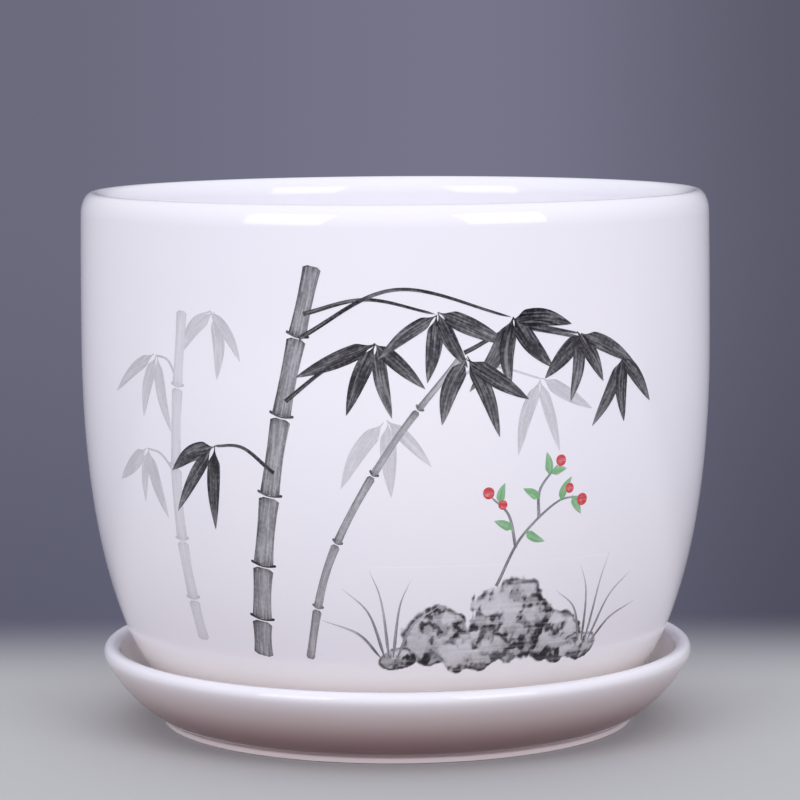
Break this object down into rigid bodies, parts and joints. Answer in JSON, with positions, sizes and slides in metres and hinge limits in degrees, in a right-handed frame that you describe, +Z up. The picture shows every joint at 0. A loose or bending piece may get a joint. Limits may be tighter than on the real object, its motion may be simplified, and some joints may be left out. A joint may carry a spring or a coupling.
{
  "type": "flowerpot with saucer",
  "caption": "Round white glazed ceramic flowerpot with a soft lip, a drain hole and an ink-wash bamboo decoration, standing loose in its own shallow saucer.",
  "frame": {"origin": "on the table, in the middle of the saucer's foot ring", "axes": "+Z up along the axis of the pot and saucer; -Y towards the decorated front"},
  "size_m": [0.14, 0.14, 0.1185],
  "materials": {
    "pot_glaze": "gloss",
    "saucer_glaze": "gloss",
    "bare_clay": "matte",
    "ink_print": "gloss",
    "green_print": "gloss",
    "red_print": "gloss"
  },
  "bodies": {
    "saucer": {"saucer": "saucer_glaze"},
    "pot": {"pot": "pot_glaze"}
  },
  "joints": [
    {"name": "pot_lift", "type": "slide", "parent": "saucer", "child": "pot", "axis": [0, 0, 1], "range_m": [0, 0.05]}
  ]
}
